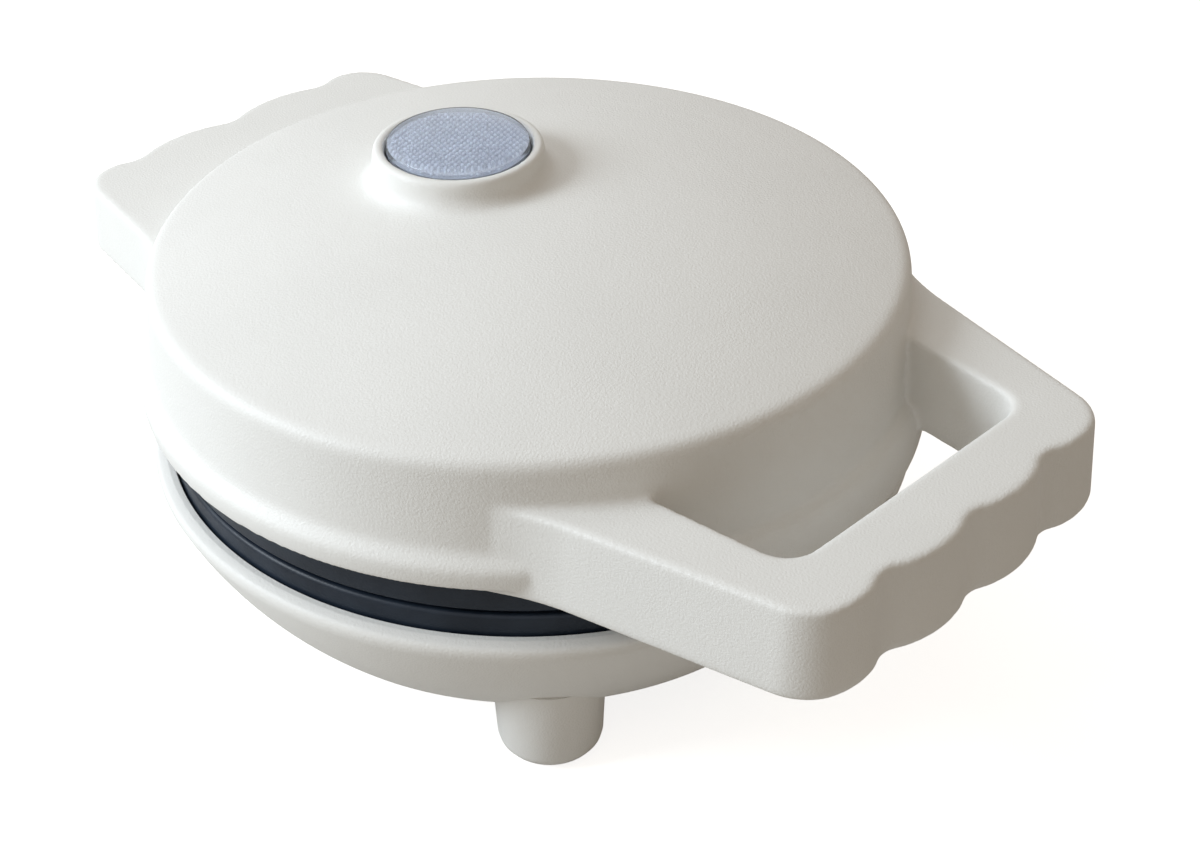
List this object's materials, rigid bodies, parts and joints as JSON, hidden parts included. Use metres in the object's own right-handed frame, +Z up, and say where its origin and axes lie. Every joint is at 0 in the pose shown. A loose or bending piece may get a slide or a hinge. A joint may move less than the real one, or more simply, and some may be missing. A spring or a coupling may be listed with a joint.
{
  "type": "bubble waffle maker",
  "caption": "Round countertop bubble waffle maker: bowl on feet, two dark plates with ball-shaped cells, and a hinged domed lid with a scalloped finger loop and a round indicator window.",
  "frame": {"origin": "centre of the bounding box at the height of the table, so that the feet stand on z = 0", "axes": "+Z up, the finger loop points to -Y, the hinge lies along X at +Y"},
  "size_m": [0.1726, 0.237, 0.1052],
  "materials": {
    "shell_plastic": "fine-grained, off-white",
    "nonstick": "cast, with a dark blue-grey non-stick coating",
    "nonstick_screws": "darkened",
    "element_sheath": "annealed",
    "ceramic": "glazed",
    "shield_metal": "mill finish",
    "steel": "zinc plated",
    "brass": "plain",
    "terminal_plastic": "moulded",
    "inner_plastic": "moulded",
    "bush_plastic": "self-lubricating",
    "rubber": "matte",
    "gland_rubber": "matte",
    "lens_plastic": "clear, prismatic inside",
    "lamp_glass": "clear"
  },
  "bodies": {
    "base": {"base_shell": "shell_plastic", "base_cover": "shell_plastic", "base_cover_screws": "steel", "foot_pads": "rubber", "lower_plate": "nonstick", "lower_plate_screws": "nonstick_screws", "lower_element": "element_sheath", "lower_element_sleeves": "ceramic", "lower_heat_shield": "shield_metal", "thermal_fuse": "steel", "earth_tab": "brass", "terminal_block": "terminal_plastic", "cord_gland": "gland_rubber", "cord_clamp": "inner_plastic", "cord_clamp_screws": "steel", "hinge_bushes": "bush_plastic"},
    "lid": {"lid_shell": "shell_plastic", "handle_cover": "shell_plastic", "handle_cover_screws": "steel", "upper_plate": "nonstick", "upper_plate_screws": "nonstick_screws", "upper_element": "element_sheath", "upper_element_sleeves": "ceramic", "upper_heat_shield": "shield_metal", "thermostat": "steel", "indicator_lens": "lens_plastic", "lamp_holder": "inner_plastic", "neon_lamps": "lamp_glass", "hinge_pins": "steel"}
  },
  "joints": [
    {"name": "lid_hinge", "type": "hinge", "parent": "base", "child": "lid", "pos_m": [0, 0.10427, 0.0625], "axis": [-1, 0, 0], "range_deg": [0, 100]}
  ]
}
